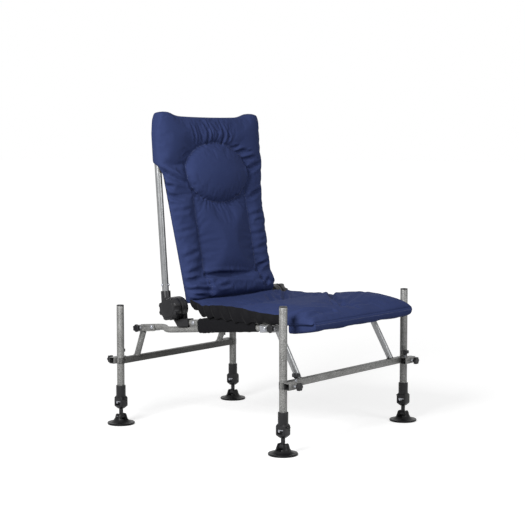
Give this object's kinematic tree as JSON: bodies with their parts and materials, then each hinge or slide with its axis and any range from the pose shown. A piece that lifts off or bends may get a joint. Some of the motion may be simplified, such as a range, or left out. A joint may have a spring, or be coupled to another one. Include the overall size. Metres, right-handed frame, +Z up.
{
  "type": "carp fishing chair",
  "caption": "Padded reclining seat on folding leg frames, with telescopic legs, clamp knobs, accessory sockets and tilting disc feet.",
  "frame": {"origin": "on the floor, under the middle of the chair", "axes": "+X to the sitter's left, +Y to the back of the chair, +Z up; the sitter faces -Y"},
  "size_m": [0.739, 0.8168, 1.0102],
  "materials": {
    "hammered_alloy": "grey hammered paint on tube",
    "bright_alloy": "bright smooth tube",
    "zinc": "zinc-plated steel",
    "charcoal_plastic": "moulded, slightly satin",
    "navy_cloth": "woven polyester over padding, navy above and black below",
    "black_cloth": "woven polyester"
  },
  "bodies": {
    "seat": {"seat_tube": "hammered_alloy", "seat_sling": "black_cloth", "side_tube_right": "hammered_alloy", "side_tube_left": "hammered_alloy", "hinge_base_right": "charcoal_plastic", "hinge_base_left": "charcoal_plastic", "seat_mat": "navy_cloth"},
    "backrest": {"back_tube": "bright_alloy", "hinge_arm_right": "charcoal_plastic", "hinge_arm_left": "charcoal_plastic", "back_mat": "navy_cloth", "lumbar_pad": "navy_cloth"},
    "star_knob_right": {"star_knob_right": "charcoal_plastic"},
    "star_knob_left": {"star_knob_left": "charcoal_plastic"},
    "front_frame": {"front_crossbar": "hammered_alloy", "front_strut_right": "bright_alloy", "leg_clamp_front_right": "hammered_alloy", "front_strut_left": "bright_alloy", "leg_clamp_front_left": "hammered_alloy"},
    "front_lock_knob_right": {"front_lock_knob_right": "charcoal_plastic"},
    "leg_front_right": {"leg_tube_front_right": "hammered_alloy", "leg_cap_front_right": "charcoal_plastic", "foot_housing_front_right": "charcoal_plastic", "foot_stem_front_right": "charcoal_plastic"},
    "foot_latch_front_right": {"foot_latch_front_right": "zinc"},
    "foot_pad_front_right": {"foot_pad_front_right": "charcoal_plastic"},
    "height_knob_front_right": {"height_knob_front_right": "charcoal_plastic"},
    "accessory_knob_front_right": {"accessory_knob_front_right": "charcoal_plastic"},
    "front_lock_knob_left": {"front_lock_knob_left": "charcoal_plastic"},
    "leg_front_left": {"leg_tube_front_left": "hammered_alloy", "leg_cap_front_left": "charcoal_plastic", "foot_housing_front_left": "charcoal_plastic", "foot_stem_front_left": "charcoal_plastic"},
    "foot_latch_front_left": {"foot_latch_front_left": "zinc"},
    "foot_pad_front_left": {"foot_pad_front_left": "charcoal_plastic"},
    "height_knob_front_left": {"height_knob_front_left": "charcoal_plastic"},
    "accessory_knob_front_left": {"accessory_knob_front_left": "charcoal_plastic"},
    "rear_frame": {"rear_crossbar": "hammered_alloy", "rear_strut_right": "hammered_alloy", "leg_clamp_rear_right": "hammered_alloy", "rear_strut_left": "hammered_alloy", "leg_clamp_rear_left": "hammered_alloy"},
    "rear_lock_knob_right": {"rear_lock_knob_right": "charcoal_plastic"},
    "leg_rear_right": {"leg_tube_rear_right": "hammered_alloy", "leg_cap_rear_right": "charcoal_plastic", "foot_housing_rear_right": "charcoal_plastic", "foot_stem_rear_right": "charcoal_plastic"},
    "foot_latch_rear_right": {"foot_latch_rear_right": "zinc"},
    "foot_pad_rear_right": {"foot_pad_rear_right": "charcoal_plastic"},
    "height_knob_rear_right": {"height_knob_rear_right": "charcoal_plastic"},
    "accessory_knob_rear_right": {"accessory_knob_rear_right": "charcoal_plastic"},
    "rear_lock_knob_left": {"rear_lock_knob_left": "charcoal_plastic"},
    "leg_rear_left": {"leg_tube_rear_left": "hammered_alloy", "leg_cap_rear_left": "charcoal_plastic", "foot_housing_rear_left": "charcoal_plastic", "foot_stem_rear_left": "charcoal_plastic"},
    "foot_latch_rear_left": {"foot_latch_rear_left": "zinc"},
    "foot_pad_rear_left": {"foot_pad_rear_left": "charcoal_plastic"},
    "height_knob_rear_left": {"height_knob_rear_left": "charcoal_plastic"},
    "accessory_knob_rear_left": {"accessory_knob_rear_left": "charcoal_plastic"}
  },
  "joints": [
    {"name": "backrest_recline", "type": "hinge", "parent": "seat", "child": "backrest", "pos_m": [0, 0.1369, 0.39177], "axis": [1, 0, 0], "range_deg": [-55, 70], "deforming": ["lumbar_pad"]},
    {"name": "star_knob_right_turn", "type": "hinge", "parent": "seat", "child": "star_knob_right", "pos_m": [-0.246, 0.1369, 0.39177], "axis": [-1, 0, 0], "continuous": true},
    {"name": "star_knob_left_turn", "type": "hinge", "parent": "seat", "child": "star_knob_left", "pos_m": [0.246, 0.1369, 0.39177], "axis": [1, 0, 0], "continuous": true},
    {"name": "front_fold", "type": "hinge", "parent": "seat", "child": "front_frame", "pos_m": [0, -0.225, 0.35677], "axis": [1, 0, 0], "range_deg": [0, 66]},
    {"name": "front_lock_knob_right_turn", "type": "hinge", "parent": "front_frame", "child": "front_lock_knob_right", "pos_m": [-0.2563, -0.26283, 0.36034], "axis": [-1, 0, 0], "continuous": true},
    {"name": "leg_front_right_height", "type": "slide", "parent": "front_frame", "child": "leg_front_right", "axis": [0, 0, -1], "range_m": [-0.055, 0.18]},
    {"name": "foot_latch_front_right_press", "type": "slide", "parent": "leg_front_right", "child": "foot_latch_front_right", "axis": [0, 1, 0], "range_m": [0, 0.003], "stiffness_N_per_m": 600, "springref_m": -0.002},
    {"name": "foot_pad_front_right_tilt", "type": "hinge", "parent": "leg_front_right", "child": "foot_pad_front_right", "pos_m": [-0.325, -0.346, 0.025], "axis": [0, 1, 0], "range_deg": [-18, 18]},
    {"name": "height_knob_front_right_turn", "type": "hinge", "parent": "front_frame", "child": "height_knob_front_right", "pos_m": [-0.317, -0.3573, 0.206], "axis": [0, -1, 0], "continuous": true},
    {"name": "accessory_knob_front_right_turn", "type": "hinge", "parent": "front_frame", "child": "accessory_knob_front_right", "pos_m": [-0.295, -0.37083, 0.2148], "axis": [0, 0, 1], "continuous": true},
    {"name": "front_lock_knob_left_turn", "type": "hinge", "parent": "front_frame", "child": "front_lock_knob_left", "pos_m": [0.2563, -0.26283, 0.36034], "axis": [1, 0, 0], "continuous": true},
    {"name": "leg_front_left_height", "type": "slide", "parent": "front_frame", "child": "leg_front_left", "axis": [0, 0, -1], "range_m": [-0.055, 0.18]},
    {"name": "foot_latch_front_left_press", "type": "slide", "parent": "leg_front_left", "child": "foot_latch_front_left", "axis": [0, -1, 0], "range_m": [0, 0.003], "stiffness_N_per_m": 600, "springref_m": -0.002},
    {"name": "foot_pad_front_left_tilt", "type": "hinge", "parent": "leg_front_left", "child": "foot_pad_front_left", "pos_m": [0.325, -0.346, 0.025], "axis": [0, 1, 0], "range_deg": [-18, 18]},
    {"name": "height_knob_front_left_turn", "type": "hinge", "parent": "front_frame", "child": "height_knob_front_left", "pos_m": [0.317, -0.3573, 0.206], "axis": [0, -1, 0], "continuous": true},
    {"name": "accessory_knob_front_left_turn", "type": "hinge", "parent": "front_frame", "child": "accessory_knob_front_left", "pos_m": [0.295, -0.37083, 0.2148], "axis": [0, 0, 1], "continuous": true},
    {"name": "rear_fold", "type": "hinge", "parent": "seat", "child": "rear_frame", "pos_m": [0, 0.26444, 0.31703], "axis": [-1, 0, 0], "range_deg": [0, 66]},
    {"name": "rear_lock_knob_right_turn", "type": "hinge", "parent": "rear_frame", "child": "rear_lock_knob_right", "pos_m": [-0.2223, 0.31322, 0.31242], "axis": [-1, 0, 0], "continuous": true},
    {"name": "leg_rear_right_height", "type": "slide", "parent": "rear_frame", "child": "leg_rear_right", "axis": [0, 0, -1], "range_m": [-0.055, 0.15]},
    {"name": "foot_latch_rear_right_press", "type": "slide", "parent": "leg_rear_right", "child": "foot_latch_rear_right", "axis": [0, 1, 0], "range_m": [0, 0.003], "stiffness_N_per_m": 600, "springref_m": -0.002},
    {"name": "foot_pad_rear_right_tilt", "type": "hinge", "parent": "leg_rear_right", "child": "foot_pad_rear_right", "pos_m": [-0.286, 0.346, 0.025], "axis": [1, 0, 0], "range_deg": [-18, 18]},
    {"name": "height_knob_rear_right_turn", "type": "hinge", "parent": "rear_frame", "child": "height_knob_rear_right", "pos_m": [-0.278, 0.3573, 0.208], "axis": [0, 1, 0], "continuous": true},
    {"name": "accessory_knob_rear_right_turn", "type": "hinge", "parent": "rear_frame", "child": "accessory_knob_rear_right", "pos_m": [-0.256, 0.37083, 0.2168], "axis": [0, 0, 1], "continuous": true},
    {"name": "rear_lock_knob_left_turn", "type": "hinge", "parent": "rear_frame", "child": "rear_lock_knob_left", "pos_m": [0.2223, 0.31322, 0.31242], "axis": [1, 0, 0], "continuous": true},
    {"name": "leg_rear_left_height", "type": "slide", "parent": "rear_frame", "child": "leg_rear_left", "axis": [0, 0, -1], "range_m": [-0.055, 0.15]},
    {"name": "foot_latch_rear_left_press", "type": "slide", "parent": "leg_rear_left", "child": "foot_latch_rear_left", "axis": [0, -1, 0], "range_m": [0, 0.003], "stiffness_N_per_m": 600, "springref_m": -0.002},
    {"name": "foot_pad_rear_left_tilt", "type": "hinge", "parent": "leg_rear_left", "child": "foot_pad_rear_left", "pos_m": [0.286, 0.346, 0.025], "axis": [0, 1, 0], "range_deg": [-18, 18]},
    {"name": "height_knob_rear_left_turn", "type": "hinge", "parent": "rear_frame", "child": "height_knob_rear_left", "pos_m": [0.278, 0.3573, 0.208], "axis": [0, 1, 0], "continuous": true},
    {"name": "accessory_knob_rear_left_turn", "type": "hinge", "parent": "rear_frame", "child": "accessory_knob_rear_left", "pos_m": [0.256, 0.37083, 0.2168], "axis": [0, 0, 1], "continuous": true}
  ]
}
